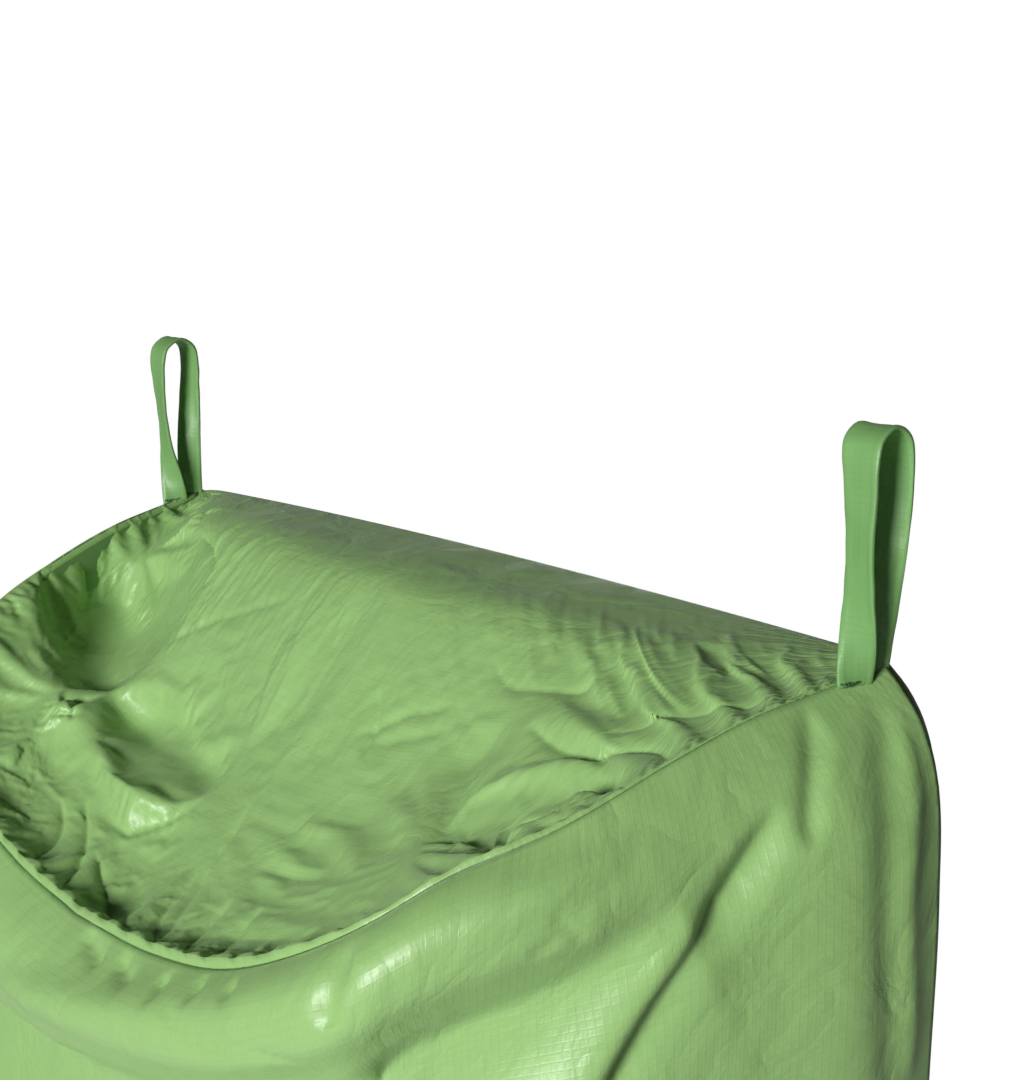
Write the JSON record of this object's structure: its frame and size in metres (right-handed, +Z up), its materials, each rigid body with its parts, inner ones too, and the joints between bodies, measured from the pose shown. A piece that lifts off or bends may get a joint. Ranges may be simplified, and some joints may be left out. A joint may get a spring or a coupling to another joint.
{
  "type": "camp quilt",
  "caption": "Hooded-foot camp quilt hung foot end up from two loops, with a sewn foot box, an open slit down the back that folds apart along two creases, and a hemmed neck.",
  "frame": {"origin": "halfway between the seats of the two hang loops, where a hanger's arms carry them", "axes": "+Z up along the hanging quilt's length, +X to the right as its front is faced, +Y to its back, the underside with the slit"},
  "size_m": [0.582, 0.2082, 1.9952],
  "materials": {
    "shell_fabric": "matt green ripstop nylon",
    "liner_fabric": "matt green taffeta",
    "insulation": "white polyester sheet insulation",
    "trim_tape": "woven green bias tape",
    "webbing": "black woven ribbon",
    "loop_ribbon": "folded self-fabric ribbon",
    "thread": "dense stitching",
    "snap_plastic": "black acetal",
    "eyelet_metal": "black enamelled brass",
    "label_satin": "blank satin"
  },
  "bodies": {
    "quilt": {"foot_cap_shell": "shell_fabric", "foot_cap_insulation": "insulation", "foot_cap_liner": "liner_fabric", "foot_seam_binding": "trim_tape", "front_shell": "shell_fabric", "front_insulation": "insulation", "front_liner": "liner_fabric", "back_shell": "shell_fabric", "back_insulation": "insulation", "back_liner": "liner_fabric", "front_neck_hem": "shell_fabric", "left_corner_hem": "shell_fabric", "right_corner_hem": "shell_fabric", "slit_top_patch": "shell_fabric", "care_label": "label_satin", "left_loop_bartack": "thread", "right_loop_bartack": "thread"},
    "left_loop": {"left_hang_loop": "loop_ribbon"},
    "right_loop": {"right_hang_loop": "loop_ribbon"},
    "left_flap": {"left_flap_shell": "shell_fabric", "left_flap_insulation": "insulation", "left_flap_liner": "liner_fabric", "left_slit_binding": "trim_tape", "left_flap_neck_hem": "shell_fabric", "left_cord_eyelet": "eyelet_metal", "left_snap_patch": "shell_fabric", "left_upper_strap_keeper": "webbing", "left_lower_strap_keeper": "webbing", "neck_snap_cap": "snap_plastic", "neck_snap_socket": "snap_plastic"},
    "right_flap": {"right_flap_shell": "shell_fabric", "right_flap_insulation": "insulation", "right_flap_liner": "liner_fabric", "right_slit_binding": "trim_tape", "right_flap_neck_hem": "shell_fabric", "right_cord_eyelet": "eyelet_metal", "right_snap_patch": "shell_fabric", "right_upper_strap_keeper": "webbing", "right_lower_strap_keeper": "webbing", "neck_snap_stud": "snap_plastic", "neck_snap_post": "snap_plastic"}
  },
  "joints": [
    {"name": "left_loop_sway", "type": "hinge", "parent": "quilt", "child": "left_loop", "pos_m": [-0.186, 0, -0.067], "axis": [1, 0, 0], "range_deg": [-60, 60]},
    {"name": "right_loop_sway", "type": "hinge", "parent": "quilt", "child": "right_loop", "pos_m": [0.186, 0, -0.067], "axis": [1, 0, 0], "range_deg": [-60, 60]},
    {"name": "left_flap_fold", "type": "hinge", "parent": "quilt", "child": "left_flap", "pos_m": [-0.009, 0.018, -0.66], "axis": [0.1892, 0, 0.9819], "range_deg": [0, 150]},
    {"name": "right_flap_fold", "type": "hinge", "parent": "quilt", "child": "right_flap", "pos_m": [0.009, 0.018, -0.66], "axis": [0.1892, 0, -0.9819], "range_deg": [0, 150]}
  ]
}
